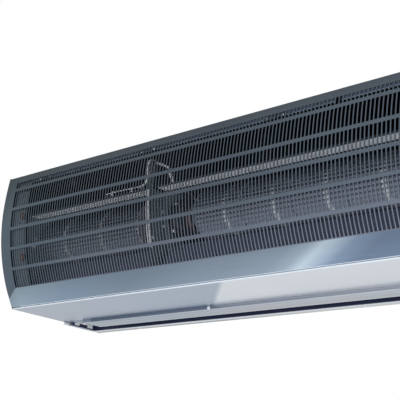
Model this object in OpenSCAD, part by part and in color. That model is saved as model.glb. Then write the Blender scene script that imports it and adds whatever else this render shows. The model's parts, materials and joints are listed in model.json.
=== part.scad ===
// Wall-hung air curtain with a bulged perforated front and two cross-flow fan wheels.
// Millimetres, Z up, Y into the wall. The wall is the plane y = 0 and the front is at negative y.
// The origin is the centre of the wall rail's back face.

/* [Casing] */
// Length of the casing along the wall
unit_length = 1500; // [1494:1:1540]
// Height from the underside to the top plate
unit_height = 336; // [334:1:344]
// Distance from the wall to the foremost point of the front
front_reach = 363; // [362:1:366]
// Radius of the front below its foremost line
low_radius = 465; // [460:1:470]
// Radius of the front above its foremost line
high_radius = 650; // [630:1:700]
// Height of the foremost line above the underside
bulge_height = 246; // [242:1:250]
// Height of the flat lower band
band_height = 45; // [43:1:47]
// How far the top of the flat band lies behind the foremost line
band_inset = 45.5; // [45:0.5:47]
// How far the flat band leans back toward the fold under it
band_lean = 25.5; // [24:0.5:27]
// Thickness of the casing sheets
sheet = 1.5; // [1.2:0.1:1.8]

/* [Front panel] */
// Thickness of the perforated front panel
door_sheet = 1.2; // [1:0.1:1.4]
// Distance between two slots
slot_pitch = 10; // [10:1:12]
// Width of one slot
slot_width = 7; // [6.6:0.1:7.2]
// Solid margin at each end of the slot field
side_margin = 39.5; // [36:0.5:44]
// Height of the first row of slots above the underside
row_start = 47.9; // [47:0.1:49]
// Distance from one row of slots to the next, measured along the sheet
row_pitch = 51.9; // [51.5:0.1:52.2]
// Height of one slot in a full row, measured along the sheet
slot_height = 44; // [40:0.5:44.5]
// Height of the slots in the short top row, measured along the sheet
top_slot_height = 16; // [12:1:17]
// Gap between the door and the pieces around it
door_gap = 0.3; // [0.25:0.05:0.5]

/* [Fan wheels] */
// Outer radius of the fan wheels
wheel_radius = 58; // [54:1:59]
// Radial depth of the blades
blade_depth = 9.5; // [8:0.5:11]
// Number of blades on a wheel
blade_count = 36; // [28:1:40]
// Blade thickness
blade_sheet = 0.8; // [0.6:0.1:1]
// Free length between the two wheels
middle_gap = 189.6; // [188:0.2:191]
// Number of bays in the short wheel
left_bays = 3; // [3:1:3]
// Number of bays in the long wheel
right_bays = 5; // [5:1:5]
// Distance from the wall to the fan shaft
shaft_reach = 252; // [251:1:253]
// Height of the fan shaft above the underside
shaft_height = 168; // [167:1:169]
// Fan shaft radius
shaft_r = 5; // [5:0.5:6]
// Radial running gap of the shaft in its bushes
shaft_gap = 0.05; // [0.03:0.01:0.08]

/* [Outlet] */
// How far the outlet collar hangs below the underside
collar_drop = 7; // [6:0.5:8]
// Distance from the wall to the front of the outlet collar
collar_reach = 121.5; // [121:0.5:122]
// Distance from each end of the casing to the outlet opening
outlet_margin = 16; // [15:1:20]
// Chord of the deflector vane
vane_chord = 51; // [48:1:52]
// Vane pivot radius
pivot_r = 2.5; // [2:0.1:3]

/* [Wall rail] */
// Depth of the rail's centre below the top of the casing
rail_drop = 68; // [66:1:70]
// Radius of the rail's screw holes
rail_hole_r = 4; // [3:0.5:4.5]
// Distance between two screw holes of the rail
rail_hole_pitch = 400; // [380:10:400]

/* [Hidden] */
$fn = 96;

half = unit_length / 2;
inner_half = half - sheet - door_gap;
outlet_half = half - outlet_margin;
rail_height = unit_height - rail_drop;
band_reach = front_reach - band_inset;
fold_reach = band_reach - band_lean;
band_slope = atan2(band_reach - fold_reach, band_height);
slot_count = floor((unit_length - 2 * side_margin) / slot_pitch);
end_space_left = 96;
end_space_right = 106;
short_bay_loss = 26;
disc_pitch = (unit_length - end_space_left + short_bay_loss - end_space_right - middle_gap)
  / (left_bays + right_bays);
wheel_left_x = -half + end_space_left;
wheel_left_end = wheel_left_x - short_bay_loss + left_bays * disc_pitch;
wheel_right_x = wheel_left_end + middle_gap;
wheel_right_end = wheel_right_x + right_bays * disc_pitch;
cheek_left_x = wheel_left_x - 17;
divider_left_x = wheel_left_end + 53.1;
divider_right_x = wheel_right_x - 101;
cheek_right_x = wheel_right_end + 8;
plate_inset = 28;
motor_x = divider_right_x + 8;
motor_length = 76;
motor_r = 44;
deck_z = shaft_height + 63;
pan_lip_y = -112.5;
nozzle_front_y = -111;
nozzle_back_y = -29;
collar_notch = 78;
back_y = -7;
vane_y = nozzle_front_y + 3 + vane_chord / 2;
vane_z = 4.5;
hinge_z = unit_height - 8;
hinge_y = skin_y(hinge_z) + 5.6;
ledge_y = -front_reach + 30;
ledge_depth = 38;
rod_x_spots = [-half + 150, half - 150];
rod_y_spots = [-260, -60];
back_screw_y = -17;
back_screw_spots = [60, unit_height - 56];
row_first = -low_radius * asin((bulge_height - row_start) / low_radius) * PI / 180;
row_last = high_radius * asin((unit_height - bulge_height) / high_radius) * PI / 180;
full_rows = floor((row_last - row_first - top_slot_height - 2) / row_pitch);
terminal_x = -half + 190;
terminal_length = 220;
terminal_z = deck_z + 15;
terminal_top = unit_height - 14;
gland_x = terminal_x + 110;
gland_y = -60;

// Place of the curved front's skin at a height.
function skin_y(z) =
  let (r = z < bulge_height ? low_radius : high_radius)
  r - front_reach - sqrt(r * r - (z - bulge_height) * (z - bulge_height));

// Height of a point of the front at a distance along the sheet from the foremost line.
function skin_z(s) =
  let (r = s < 0 ? low_radius : high_radius)
  bulge_height + r * sin(s / r * 180 / PI);

// Puts a piece drawn above the underside into the frame of the wall rail.
module placed() {
  translate([0, 0, -rail_height]) children();
}

// Extrudes a (y, z) drawing along x.
module along_x(x0, x1) {
  translate([x0, 0, 0]) rotate([90, 0, 90]) linear_extrude(x1 - x0) children();
}

// A cylinder along x.
module rod_x(x0, x1, y, z, r) {
  translate([x0, y, z]) rotate([0, 90, 0]) cylinder(h = x1 - x0, r = r);
}

// A cylinder along y.
module rod_y(x, y0, y1, z, r) {
  translate([x, y0, z]) rotate([-90, 0, 0]) cylinder(h = y1 - y0, r = r);
}

// A box from its low to its high corner.
module box(a, b) {
  translate(a) cube([b[0] - a[0], b[1] - a[1], b[2] - a[2]]);
}

// Section of the casing, drawn inset from its outer skin.
module section(inset = 0) {
  s = inset / cos(band_slope);
  intersection() {
    polygon([
      [-fold_reach + s, 0],
      [-band_reach - (unit_height - band_height) * tan(band_slope) + s, unit_height],
      [0, unit_height], [0, 0]]);
    union() {
      translate([-front_reach + high_radius, bulge_height])
        circle(r = high_radius - inset);
      translate([-front_reach - 20, 0]) square([front_reach + 20, bulge_height]);
    }
    union() {
      translate([-front_reach + low_radius, bulge_height])
        circle(r = low_radius - inset);
      translate([-front_reach - 20, bulge_height])
        square([front_reach + 20, unit_height - bulge_height]);
    }
  }
}

// Curved front skin between two insets and two heights.
module skin(inset, thick, z0, z1) {
  intersection() {
    difference() {
      section(inset);
      section(inset + thick);
    }
    translate([-front_reach - 20, z0]) square([front_reach + 20 - 240, z1 - z0]);
  }
}

function unit(v) = v / norm(v);
function side(v) = [-v[1], v[0]];
function mitre(p, i, t) =
  let (a = unit(p[max(i, 1)] - p[max(i, 1) - 1]),
       b = unit(p[min(i, len(p) - 2) + 1] - p[min(i, len(p) - 2)]),
       n = side(a) + side(b))
  p[i] + n * t / (1 + side(a) * side(b));

// Bent sheet of one thickness that follows a list of points.
module bent(p, t) {
  polygon(concat(p, [for (i = [len(p) - 1 : -1 : 0]) mitre(p, i, t)]));
}

module end_cap_left() {
  color([0.34, 0.38, 0.43]) placed() end_cap();
}

module end_cap_right() {
  color([0.34, 0.38, 0.43]) placed() mirror([1, 0, 0]) end_cap();
}

// End plate with its wide front flange and its skirt beside the outlet.
module end_cap() {
  difference() {
    union() {
      along_x(-half, -half + sheet) {
        section();
        translate([-collar_reach - 3, -collar_drop]) square([collar_reach + 3, collar_drop + 1]);
      }
      along_x(-half + sheet - 0.1, -half + 98) skin(6, sheet, 20, unit_height - 14);
    }
    for (p = end_screw_spots)
      translate([-half - 0.01, p[0], p[1]]) rotate([0, 90, 0])
        cylinder(h = sheet + 0.02, r1 = 4.2, r2 = 2.2);
  }
}

top_screw_y_spots = [-300, -90];
pan_screw_y_spots = [-250, -160];
pan_screw_z = 9;
end_screw_spots = concat([for (y = top_screw_y_spots) [y, unit_height - 10]],
  [for (z = back_screw_spots) [back_screw_y, z]], [for (y = pan_screw_y_spots) [y, pan_screw_z]]);

notch_x = 366.5;
notch_length = 17;

// Top sheet with a hanging flange behind the door's upper edge, notched for a wire.
module top_plate() {
  color([0.62, 0.65, 0.68]) placed() difference() {
    union() {
      box([-inner_half, hinge_y + 5.4, unit_height - sheet], [inner_half, -0.3, unit_height]);
      box([-inner_half, hinge_y + 5.4, hinge_z - 14],
        [inner_half, hinge_y + 5.4 + sheet, unit_height - 0.5]);
      for (s = [-1, 1]) scale_x(s)
        box([-inner_half, -320, unit_height - 18], [-inner_half + sheet, -28, unit_height - 0.5]);
    }
    for (x = rod_x_spots, y = rod_y_spots)
      translate([x, y, unit_height - 3]) cylinder(h = 4, r = 4.25);
    for (s = [-1, 1], y = top_screw_y_spots) scale_x(s)
      rod_x(-half, -half + 8, y, unit_height - 10, 2.2);
    box([notch_x - notch_length / 2, hinge_y + 5, hinge_z - 15],
      [notch_x + notch_length / 2, hinge_y + 6 + sheet, unit_height - sheet - 3]);
    translate([gland_x, gland_y, unit_height - 3]) cylinder(h = 4, r = 8.2);
  }
}

// Mirrors its children to the other end when s is below zero.
module scale_x(s) {
  if (s < 0) mirror([1, 0, 0]) children();
  else children();
}

module back_plate() {
  color([0.62, 0.65, 0.68]) placed() difference() {
    union() {
      box([-inner_half, back_y - sheet, 2], [inner_half, back_y, unit_height - sheet - 0.3]);
      for (s = [-1, 1]) scale_x(s)
        box([-inner_half, -26, 24], [-inner_half + sheet, back_y - 0.5, unit_height - 22]);
    }
    for (s = [-1, 1], z = back_screw_spots) scale_x(s)
      rod_x(-half, -half + 8, back_screw_y, z, 2.2);
  }
}

// Underside panel with its front bead, its sealing lip and its outlet lip.
module bottom_pan() {
  color([0.72, 0.75, 0.79]) placed() difference() {
    union() {
      box([-inner_half, -fold_reach + 2, 0], [inner_half, pan_lip_y + sheet, sheet]);
      rod_x(-inner_half, inner_half, -fold_reach + 1.9, 1.6, 1.6);
      along_x(-inner_half, inner_half) bent([[-fold_reach + 4.5, 1],
        [-fold_reach + 4.5 - 26 * tan(band_slope), 27]], -1.2);
      box([-inner_half, pan_lip_y, 0.5], [inner_half, pan_lip_y + 1.2, 20]);
      for (s = [-1, 1]) scale_x(s)
        box([-inner_half, -278, 0.5], [-inner_half + sheet, -130, 17]);
    }
    for (s = [-1, 1], y = pan_screw_y_spots) scale_x(s)
      rod_x(-half, -half + 8, y, pan_screw_z, 2.2);
  }
}

// Perforated bulged door: one sheet with a flat lower band.
module front_panel() {
  color([0.42, 0.45, 0.50]) placed() difference() {
    along_x(-inner_half, inner_half) skin(0, door_sheet, 3.6, unit_height - 2);
    translate([0, -fold_reach + 2, 0]) rotate([90, 0, 0])
      linear_extrude(front_reach - fold_reach + 20) slot_field();
  }
}

// Drawing of every slot, seen from the front. The rows are evenly spaced along the curved sheet.
module slot_field() {
  x0 = -slot_pitch * (slot_count - 1) / 2 - slot_width / 2;
  for (r = [0 : full_rows]) {
    low = row_first + r * row_pitch;
    high = low + (r < full_rows ? slot_height : top_slot_height);
    for (i = [0 : slot_count - 1])
      translate([x0 + i * slot_pitch, skin_z(low)]) square([slot_width, skin_z(high) - skin_z(low)]);
  }
}

hinge_spots = [for (k = [-1, -1 / 3, 1 / 3, 1]) k * (half - 150)];

// Hinge leaves on the top plate and knuckles for the pins.
module door_hinges() {
  color([0.70, 0.72, 0.74]) placed() for (x = hinge_spots) difference() {
    union() {
      box([x - 30, hinge_y + 3.9, hinge_z - 14], [x + 30, hinge_y + 5.1, hinge_z + 2]);
      for (e = [x - 30, x + 18]) {
        rod_x(e, e + 12, hinge_y, hinge_z, 3.4);
        box([e, hinge_y, hinge_z - 3.4], [e + 12, hinge_y + 4.2, hinge_z]);
      }
    }
    rod_x(x - 31, x + 31, hinge_y, hinge_z, 1.55);
  }
}

// Pins and door knuckles, one piece with the door.
module hinge_pins() {
  color([0.76, 0.77, 0.78]) placed() for (x = hinge_spots) {
    rod_x(x - 30, x + 30, hinge_y, hinge_z, 1.5);
    rod_x(x - 17.6, x + 17.6, hinge_y, hinge_z, 3.2);
    box([x - 17.6, hinge_y - 4.4, hinge_z - 3.2], [x + 17.6, hinge_y, hinge_z - 1.6]);
  }
}

// Rubber buffers that the closed door rests on.
module door_buffers() {
  color([0.45, 0.20, 0.14]) placed() for (s = [-1, 1], z = [bulge_height - 129, bulge_height - 24])
    scale_x(s) intersection() {
      rod_y(-half + 86, -front_reach - 7, -front_reach + 33, z, 9);
      along_x(-half + 70, -half + 98) skin(door_sheet + door_gap, 4.2, z - 12, z + 12);
    }
}

// Spring catches at the door's lower corners.
module door_catches() {
  color([0.80, 0.80, 0.78]) placed() for (s = [-1, 1]) scale_x(s) {
    box([-half + 14, -fold_reach + 9, sheet + 0.2], [-half + 44, -fold_reach + 26, 16]);
    rod_y(-half + 29, -fold_reach + 2.9, -fold_reach + 9, 10, 3);
  }
}

// Plate across the fan bays, open around the shaft. Its front edge follows the door.
module cheek_sheet(x, set_back = 0) {
  difference() {
    along_x(x, x + sheet) {
      intersection() {
        section(plate_inset + set_back);
        polygon([[-front_reach, 45], [-front_reach, deck_z + 1.5], [-190, deck_z + 1.5],
          [-60, deck_z + 1], [back_y - sheet - 0.3, 150], [back_y - sheet - 0.3, 24],
          [-114, 24], [-262, sheet + 0.3], [-280, sheet + 0.3], [-300, 30]]);
      }
      polygon([[-262, sheet + 0.3], [-280, sheet + 0.3], [-280, 14], [-225, 44], [-225, 8]]);
    }
    rod_x(x - 1, x + 3, -shaft_reach, shaft_height, 16);
    for (a = [0, 120, 240]) translate([x, -shaft_reach, shaft_height]) rotate([a, 0, 0])
      rod_x(-1, 3, 0, 27, 2.1);
  }
}

cheek_screw_spots = [[-301, 175], [-304, 155]];
divider_screw_spots = [[-283, 187], [-303, 121]];

module cheek_plates() {
  color([0.55, 0.57, 0.60]) placed() difference() {
    union() {
      cheek_sheet(cheek_left_x - sheet);
      cheek_sheet(cheek_right_x);
    }
    for (p = cheek_screw_spots) rod_x(cheek_left_x - 3, cheek_left_x + 1, p[0], p[1], 2.1);
  }
}

// The two plates beside the middle bay. The left one reaches up to the cable, the right one
// carries the motor.
module bearing_plates() {
  color([0.58, 0.60, 0.63]) placed() {
    difference() {
      union() {
        cheek_sheet(divider_left_x);
        along_x(divider_left_x, divider_left_x + sheet) intersection() {
          section(plate_inset);
          translate([-front_reach, deck_z]) square([front_reach - 318, unit_height - 36 - deck_z]);
        }
      }
      for (p = divider_screw_spots)
        rod_x(divider_left_x - 1, divider_left_x + 3, p[0], p[1], 2.1);
    }
    difference() {
      cheek_sheet(divider_right_x, 26);
      for (a = [45 : 90 : 315]) translate([divider_right_x, -shaft_reach, shaft_height])
        rotate([a, 0, 0]) rod_x(-1, 3, 0, motor_stud_ring, 2.7);
      box([divider_right_x - 1, -front_reach, deck_z - 2.2],
        [divider_right_x + 3, -238, deck_z + 5]);
    }
  }
}

// Round-headed screws in the left cheek and the left divider.
module plate_screws() {
  color([0.88, 0.89, 0.90]) placed() {
    for (p = cheek_screw_spots) plate_screw(cheek_left_x, p);
    for (p = divider_screw_spots) plate_screw(divider_left_x + sheet, p);
  }
}

module plate_screw(x, p) {
  rod_x(x - 6, x + 0.1, p[0], p[1], 2);
  rod_x(x + 0.1, x + 2.9, p[0], p[1], 4);
}

// White trim pushed over the front edge of the left divider.
module edge_trim() {
  color([0.90, 0.90, 0.87]) placed() difference() {
    along_x(divider_left_x - 1.6, divider_left_x + sheet + 1.6)
      skin(plate_inset - 1.8, 8, 98, deck_z - 4);
    along_x(divider_left_x - 0.1, divider_left_x + sheet + 0.1) section(plate_inset - 0.1);
  }
}

deck_arc_y = -190;
deck_arc_r = nozzle_back_y - 1.7 - deck_arc_y;
deck_path = concat([[ledge_y + 2, deck_z]],
  [for (i = [0 : 14]) [deck_arc_y + deck_arc_r * sin(i * 90 / 14),
    deck_z - deck_arc_r * (1 - cos(i * 90 / 14))]],
  [[nozzle_back_y - 1.7, 24.5]]);

// Ceiling above a wheel that curves down into the outlet's rear wall.
module fan_deck(x0, x1) {
  along_x(x0, x1) bent(deck_path, 1.2);
}

module fan_deck_left() {
  color([0.62, 0.64, 0.66]) placed() fan_deck(cheek_left_x + 0.3, divider_left_x - 0.3);
}

// The right ceiling reaches over the motor's plate and has a hole for the cable.
module fan_deck_right() {
  color([0.62, 0.64, 0.66]) placed() difference() {
    fan_deck(divider_right_x - 10, cheek_right_x - 0.3);
    box([divider_right_x - 11, -244, 0], [divider_right_x + sheet + 0.3, 0, deck_z + 5]);
    translate([motor_x + 13, -262, deck_z - 2]) cylinder(h = 6, r = 9);
  }
}

// Bright rails under the front edges of the ceilings.
module inlet_rails() {
  color([0.86, 0.88, 0.90]) placed() {
    inlet_rail(cheek_left_x + 0.3, divider_left_x - 0.3);
    inlet_rail(divider_right_x - 10, cheek_right_x - 0.3);
  }
}

module inlet_rail(x0, x1) {
  box([x0, ledge_y, deck_z - 1.8], [x1, ledge_y + ledge_depth, deck_z - 0.3]);
}

tongue_path = [[-262, sheet + 0.3], [-283, sheet + 0.3], [-299, 50], [-272, 104], [-244, 104],
  [pan_lip_y - 0.2, 32], [pan_lip_y - 0.2, 8]];

module tongue_left() {
  color([0.60, 0.62, 0.65]) placed()
    along_x(cheek_left_x + 0.3, divider_left_x - 0.3) bent(tongue_path, -1.2);
}

module tongue_right() {
  color([0.60, 0.62, 0.65]) placed()
    along_x(divider_right_x + sheet + 0.3, cheek_right_x - 0.3) bent(tongue_path, -1.2);
}

// One forward-curved blade, drawn across the shaft.
module blade() {
  inner = wheel_radius - blade_depth;
  function at(t, w) =
    let (r = inner + 0.6 + t * (blade_depth - 1),
         a = 4 * t + 8 * t * t)
    [(r + w) * cos(a), (r + w) * sin(a)];
  n = 4;
  polygon(concat([for (i = [0 : n]) at(i / n, 0) + [0, blade_sheet / 2]],
    [for (i = [n : -1 : 0]) at(i / n, 0) - [0, blade_sheet / 2]]));
}

// Cross-flow wheel: blades through ring discs, closed end discs with hubs. Its first bay is
// shorter by a loss.
module wheel(x0, bays, loss = 0) {
  x1 = x0 - loss + bays * disc_pitch;
  translate([0, -shaft_reach, shaft_height]) {
    translate([x0 + 0.6, 0, 0]) rotate([90, 0, 90]) linear_extrude(x1 - x0 - 1.2)
      for (i = [0 : blade_count - 1]) rotate(i * 360 / blade_count) blade();
    for (i = [1 : bays - 1]) translate([x0 - loss + i * disc_pitch, 0, 0]) rotate([0, 90, 0])
      difference() {
        translate([0, 0, -0.7]) cylinder(h = 1.4, r = wheel_radius);
        translate([0, 0, -1]) cylinder(h = 2, r = wheel_radius - blade_depth - 3);
      }
    difference() {
      union() {
        rod_x(x0, x0 + 1.4, 0, 0, wheel_radius);
        rod_x(x1 - 1.4, x1, 0, 0, wheel_radius);
        rod_x(x0, x0 + 24, 0, 0, 13);
        rod_x(x1 - 24, x1, 0, 0, 13);
      }
      rod_x(x0 - 1, x0 + 25, 0, 0, shaft_r + shaft_gap);
      rod_x(x1 - 25, x1 + 1, 0, 0, shaft_r + shaft_gap);
      for (x = [x0 + 15, x1 - 15]) translate([x, 0, 0]) cylinder(h = 20, r = 2.1);
    }
  }
}

module wheel_left() {
  color([0.74, 0.76, 0.78]) placed() wheel(wheel_left_x, left_bays, short_bay_loss);
}

module wheel_right() {
  color([0.74, 0.76, 0.78]) placed() wheel(wheel_right_x, right_bays);
}

// Stub shaft, through shaft of the motor and far stub shaft.
module rotor_shaft() {
  color([0.78, 0.79, 0.80]) placed() {
    shaft(cheek_left_x - 14, wheel_left_x + 23);
    shaft(wheel_left_end - 23, wheel_right_x + 23);
    shaft(wheel_right_end - 23, cheek_right_x + 14);
  }
}

module shaft(x0, x1) {
  rod_x(x0, x1, -shaft_reach, shaft_height, shaft_r);
}

module hub_screws() {
  color([0.20, 0.20, 0.22]) placed()
    for (x = [wheel_left_x + 15, wheel_left_end - 15, wheel_right_x + 15, wheel_right_end - 15])
      translate([x, -shaft_reach, shaft_height + shaft_r + 0.1]) difference() {
        cylinder(h = 8.4, r = 2);
        translate([0, 0, 5.4]) cylinder(h = 4, r = 1.2, $fn = 6);
      }
}

// Motor with a flange, a ribbed body and an end shield on four posts.
module motor() {
  color([0.30, 0.31, 0.33]) placed() translate([0, -shaft_reach, shaft_height]) difference() {
    union() {
      rod_x(motor_x, motor_x + 2, 0, 0, 50);
      rod_x(motor_x + 2, motor_x + 40, 0, 0, motor_r - 4);
      for (i = [0 : 3]) rod_x(motor_x + 8 + i * 8, motor_x + 12 + i * 8, 0, 0, motor_r);
      for (a = [0 : 90 : 270]) rotate([a, 0, 0])
        rod_x(motor_x + 39, motor_x + 63, 0, motor_r - 8, 3);
      rod_x(motor_x + 62, motor_x + 66, 0, 0, motor_r - 4);
      rod_x(motor_x + 62, motor_x + motor_length, 0, 0, 18);
      translate([motor_x + 28, 0, motor_r - 6]) cylinder(h = 12, r = 6);
    }
    rod_x(motor_x - 1, motor_x + motor_length + 1, 0, 0, shaft_r + shaft_gap);
    for (a = [45 : 90 : 315]) rotate([a, 0, 0]) {
      rod_x(motor_x - 1, motor_x + 3, 0, 45, 2.7);
      rod_x(motor_x + 61, motor_x + 67, 0, 28, 6);
    }
    translate([motor_x + 28, 0, motor_r]) cylinder(h = 7, r = 3.4);
  }
}

// Rounded winding head between the motor's body and its end shield.
module motor_winding() {
  color([0.62, 0.34, 0.22]) placed() translate([motor_x + 40.3, -shaft_reach, shaft_height])
    rotate([0, 90, 0]) rotate_extrude() {
      translate([14, 0]) square([18, 8]);
      intersection() {
        translate([23, 7.9]) circle(r = 9);
        translate([14, 7.9]) square([18, 10]);
      }
    }
}

motor_stud_ring = 45;

module motor_grommets() {
  color([0.46, 0.21, 0.15]) placed() for (a = [45 : 90 : 315])
    translate([0, -shaft_reach, shaft_height]) rotate([a, 0, 0]) difference() {
      rod_x(divider_right_x + sheet + 0.1, motor_x - 0.1, 0, motor_stud_ring, 4.6);
      rod_x(divider_right_x, motor_x + 1, 0, motor_stud_ring, 2.2);
    }
}

module motor_screws() {
  color([0.85, 0.86, 0.87]) placed() for (a = [45 : 90 : 315])
    translate([0, -shaft_reach, shaft_height]) rotate([a, 0, 0]) {
      rod_x(divider_right_x - 0.1, motor_x + 7, 0, motor_stud_ring, 2);
      rod_x(divider_right_x - 2.6, divider_right_x - 0.1, 0, motor_stud_ring, 4);
      translate([motor_x + 2.1, 0, motor_stud_ring]) rotate([0, 90, 0])
        cylinder(h = 3.4, r = 4, $fn = 6);
    }
}

// Where each bearing sits, and which way it stands off its plate.
bearing_spots = [[cheek_left_x - sheet, -1], [divider_left_x + sheet, 1], [cheek_right_x + sheet, 1]];

// Three-lobed bearing flange with its cup.
module bearing_housings() {
  color([0.66, 0.68, 0.70]) placed() for (b = bearing_spots)
    translate([b[0] + b[1] * 0.1, -shaft_reach, shaft_height]) scale_x(b[1]) difference() {
      union() {
        rod_x(0, 1.5, 0, 0, 22);
        for (a = [0, 120, 240]) rotate([a, 0, 0]) rod_x(0, 1.5, 0, 27, 6);
        rod_x(0, 11, 0, 0, 16);
      }
      rod_x(-1, 12, 0, 0, 14);
      for (a = [0, 120, 240]) rotate([a, 0, 0]) rod_x(-1, 3, 0, 27, 2.1);
    }
}

module bearing_rubbers() {
  color([0.46, 0.21, 0.15]) placed() for (b = bearing_spots)
    translate([b[0] + b[1] * 0.1, -shaft_reach, shaft_height]) scale_x(b[1]) difference() {
      rod_x(0.5, 10.5, 0, 0, 13.9);
      rod_x(-1, 12, 0, 0, 8.6);
    }
}

module bearing_bushes() {
  color([0.72, 0.58, 0.36]) placed() for (b = bearing_spots)
    translate([b[0] + b[1] * 0.1, -shaft_reach, shaft_height]) scale_x(b[1]) difference() {
      rod_x(0.5, 10.5, 0, 0, 8.5);
      rod_x(-1, 12, 0, 0, shaft_r + shaft_gap);
    }
}

module bearing_screws() {
  color([0.88, 0.89, 0.90]) placed() for (b = bearing_spots)
    translate([b[0] + b[1] * 1.7, -shaft_reach, shaft_height]) scale_x(b[1])
      for (a = [0, 120, 240]) rotate([a, 0, 0]) {
        rod_x(-5.4, 0, 0, 27, 2);
        rod_x(0, 2.6, 0, 27, 3.8);
      }
}

capacitor_x = divider_right_x + 26;
capacitor_z = deck_z - 31;
capacitor_y = back_y - sheet - 2.1 - 17.5;

module capacitor() {
  color([0.86, 0.86, 0.84]) placed() translate([capacitor_x, capacitor_y, capacitor_z]) {
    cylinder(h = 70, r = 17.5);
    translate([0, 0, 70]) cylinder(h = 3, r = 15.5);
    for (x = [-5, 5]) box([x - 3, -0.5, 73], [x + 3, 0.5, 80]);
  }
}

module capacitor_clip() {
  color([0.76, 0.77, 0.78]) placed() {
    translate([capacitor_x, capacitor_y, capacitor_z + 28]) difference() {
      cylinder(h = 14, r = 18.8);
      translate([0, 0, -1]) cylinder(h = 16, r = 17.6);
    }
    box([capacitor_x - 12, capacitor_y + 17.8, capacitor_z + 28],
      [capacitor_x + 12, back_y - sheet - 0.1, capacitor_z + 42]);
  }
}

// Hanging collar around the outlet, with the webs that part the two air streams. Its front wall
// ends short of both casing ends.
module nozzle_frame() {
  z0 = -collar_drop;
  y1 = back_y + 1.6;
  color([0.66, 0.68, 0.71]) placed() difference() {
    union() {
      difference() {
        box([-inner_half, -collar_reach, z0], [inner_half, y1, z0 + 1.2]);
        box([-outlet_half, nozzle_front_y + 0.5, z0 - 1], [outlet_half, nozzle_back_y, z0 + 2]);
      }
      box([-inner_half, -collar_reach, z0], [inner_half, -collar_reach + 1.2, -0.2]);
      box([-outlet_half, nozzle_front_y, z0], [outlet_half, nozzle_front_y + 1.2, 22]);
      box([-outlet_half, nozzle_back_y - 1.2, z0], [outlet_half, nozzle_back_y, 22]);
      for (x = [-outlet_half - 1.2, outlet_half])
        box([x, nozzle_front_y, z0], [x + 1.2, nozzle_back_y, 22]);
      box([-inner_half, y1 - 1.2, z0], [inner_half, y1, 22]);
      for (x = [divider_left_x + 2, divider_right_x - 2])
        box([x - 0.6, nozzle_front_y + 1, z0 + 18], [x + 0.6, nozzle_back_y - 1, 22]);
    }
    for (x = vane_bracket_spots, e = [-4.5, 4.5])
      rod_y(x + e, nozzle_front_y - 1, nozzle_front_y + 2, 17, 1.6);
    for (s = [-1, 1]) scale_x(s)
      box([-half, -collar_reach - 1, z0 - 1], [-half + collar_notch, nozzle_front_y + 2, 0]);
  }
}

vane_half = outlet_half - 20;
mid_bracket_x = divider_right_x - 14;
vane_bracket_spots = [-outlet_half + 12, mid_bracket_x, outlet_half - 12];

// Deflector vane: a flat blade with a curled nose and a pivot tube.
module deflector_vane() {
  y0 = vane_y - vane_chord / 2;
  color([0.80, 0.82, 0.85]) placed() difference() {
    union() {
      along_x(-vane_half, vane_half) bent([[y0 + vane_chord, -collar_drop + 0.6],
        [y0 + 7, -collar_drop + 0.6], [y0 + 3, -collar_drop + 1.8],
        [y0 + 0.8, -collar_drop + 5], [y0 + 1.4, -collar_drop + 9]], -1.6);
      rod_x(-vane_half, vane_half, vane_y, vane_z, 4.6);
      box([-vane_half, vane_y - 1.5, -collar_drop + 1], [vane_half, vane_y + 1.5, vane_z]);
    }
    for (s = [-1, 1]) scale_x(s)
      rod_x(-vane_half - 1, -vane_half + 30, vane_y, vane_z, pivot_r + shaft_gap);
    box([mid_bracket_x - 8, vane_y - 7, vane_z - 4.7],
      [mid_bracket_x + 8, vane_y + 7, vane_z + 6]);
    rod_x(mid_bracket_x - 60, mid_bracket_x + 60, vane_y, vane_z, pivot_r + shaft_gap);
  }
}

// Brackets that carry the vane's pivots, screwed to the collar's front wall. The end ones are
// plates on two legs.
module vane_brackets() {
  color([0.93, 0.94, 0.95]) placed() for (x = vane_bracket_spots) difference() {
    union() {
      box([x - 7, nozzle_front_y + 1.4, 8], [x + 7, nozzle_front_y + 3, 21]);
      box([x - 1.5, nozzle_front_y + 1.4, 15], [x + 1.5, vane_y + 3.6, 20]);
      box([x - 1.5, vane_y - 3.6, vane_z], [x + 1.5, vane_y + 3.6, 20]);
      rod_x(x - 1.5, x + 1.5, vane_y, vane_z, 3.6);
      if (x != mid_bracket_x) end_leg_plate(x);
    }
    rod_x(x - 3, x + 3, vane_y, vane_z, pivot_r + shaft_gap);
    for (e = [-4.5, 4.5]) rod_y(x + e, nozzle_front_y, nozzle_front_y + 4, 17, 1.6);
  }
}

module end_leg_plate(x) {
  difference() {
    box([x - 1.5, vane_y - 24.5, -collar_drop + 1.5], [x + 1.5, vane_y + 32.5, 18]);
    box([x - 2, vane_y - 11.5, -collar_drop], [x + 2, vane_y + 17.5, vane_z - 4]);
  }
}

module bracket_screws() {
  color([0.85, 0.86, 0.88]) placed() for (x = vane_bracket_spots, e = [-4.5, 4.5]) {
    rod_y(x + e, nozzle_front_y, nozzle_front_y + 3.2, 17, 1.5);
    rod_y(x + e, nozzle_front_y + 3.1, nozzle_front_y + 4.9, 17, 2.4);
  }
}

// Pivot pins that turn with the vane.
module vane_pins() {
  color([0.84, 0.85, 0.86]) placed() {
    for (s = [-1, 1]) scale_x(s)
      rod_x(-outlet_half + 6, -vane_half + 29, vane_y, vane_z, pivot_r);
    rod_x(mid_bracket_x - 59, mid_bracket_x + 59, vane_y, vane_z, pivot_r);
  }
}

module terminal_box() {
  color([0.82, 0.83, 0.84]) placed() difference() {
    box([terminal_x, -96, terminal_z], [terminal_x + terminal_length, back_y - sheet - 0.1, terminal_top]);
    box([terminal_x + 2, -98, terminal_z + 2],
      [terminal_x + terminal_length - 2, back_y - sheet - 2.1, terminal_top - 2]);
    rod_x(terminal_x + terminal_length - 4, terminal_x + terminal_length + 1, -60,
      terminal_z + 16, cable_r + 1);
    translate([gland_x, gland_y, terminal_top - 4]) cylinder(h = 6, r = 8.2);
  }
}

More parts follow.
